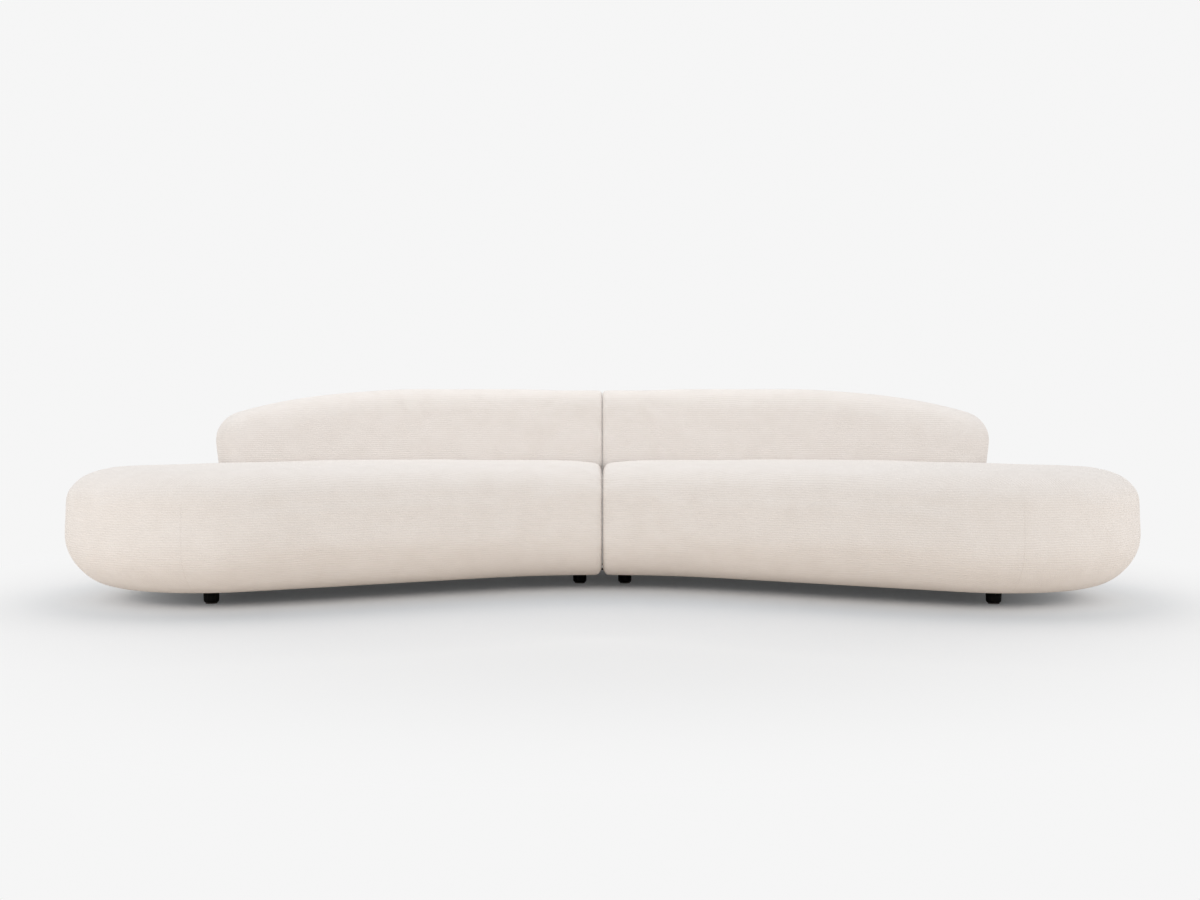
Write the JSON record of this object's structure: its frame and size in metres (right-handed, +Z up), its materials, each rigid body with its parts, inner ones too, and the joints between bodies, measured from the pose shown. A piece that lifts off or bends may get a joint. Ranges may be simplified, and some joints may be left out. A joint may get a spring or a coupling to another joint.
{
  "type": "curved sectional sofa",
  "caption": "Low curved sectional sofa: two mirrored upholstered sections with rounded ends and a crescent back, pushed together at a centre joint, on small round feet.",
  "frame": {"origin": "on the floor under the middle of the bounding box, on the joint plane between the sections", "axes": "+X to the right as seen from the front, +Y towards the back of the sofa, +Z up"},
  "size_m": [3.5298, 1.4214, 0.708],
  "materials": {
    "upholstery": "matte ribbed weave",
    "foam": "open-cell foam",
    "plywood": "raw plywood",
    "webbing": "elastic webbing",
    "lining": "thin non-woven",
    "zinc_steel": "zinc plated",
    "black_steel": "powder coat",
    "black_feet": "satin",
    "felt": "felt"
  },
  "bodies": {
    "left_section": {"left_back_board": "plywood", "left_back_bolts": "zinc_steel", "left_back_bottom_rail": "plywood", "left_back_cover": "upholstery", "left_back_foam": "foam", "left_back_nuts": "zinc_steel", "left_back_posts": "plywood", "left_back_top_rail": "plywood", "left_bent_band": "plywood", "left_bottom_plate": "plywood", "left_connector_screws": "zinc_steel", "left_connector_sockets": "black_steel", "left_cross_rails": "plywood", "left_dust_cover": "lining", "left_foot_front_inner": "black_feet", "left_foot_front_outer": "black_feet", "left_foot_glides": "felt", "left_foot_nuts": "zinc_steel", "left_foot_rear_inner": "black_feet", "left_foot_rear_middle": "black_feet", "left_foot_rear_outer": "black_feet", "left_foot_studs": "zinc_steel", "left_formers": "plywood", "left_joint_panel": "plywood", "left_seat_cover": "upholstery", "left_seat_foam": "foam", "left_side_foam": "foam", "left_top_plate": "plywood", "left_webbing": "webbing"},
    "right_section": {"right_back_board": "plywood", "right_back_bolts": "zinc_steel", "right_back_bottom_rail": "plywood", "right_back_cover": "upholstery", "right_back_foam": "foam", "right_back_nuts": "zinc_steel", "right_back_posts": "plywood", "right_back_top_rail": "plywood", "right_bent_band": "plywood", "right_bottom_plate": "plywood", "right_connector_screws": "zinc_steel", "right_connector_tongues": "black_steel", "right_cross_rails": "plywood", "right_dust_cover": "lining", "right_foot_front_inner": "black_feet", "right_foot_front_outer": "black_feet", "right_foot_glides": "felt", "right_foot_nuts": "zinc_steel", "right_foot_rear_inner": "black_feet", "right_foot_rear_middle": "black_feet", "right_foot_rear_outer": "black_feet", "right_foot_studs": "zinc_steel", "right_formers": "plywood", "right_joint_panel": "plywood", "right_seat_cover": "upholstery", "right_seat_foam": "foam", "right_side_foam": "foam", "right_top_plate": "plywood", "right_webbing": "webbing"}
  },
  "joints": [
    {"name": "section_slide", "type": "slide", "parent": "left_section", "child": "right_section", "axis": [1, 0, 0], "range_m": [0, 0.6]}
  ]
}
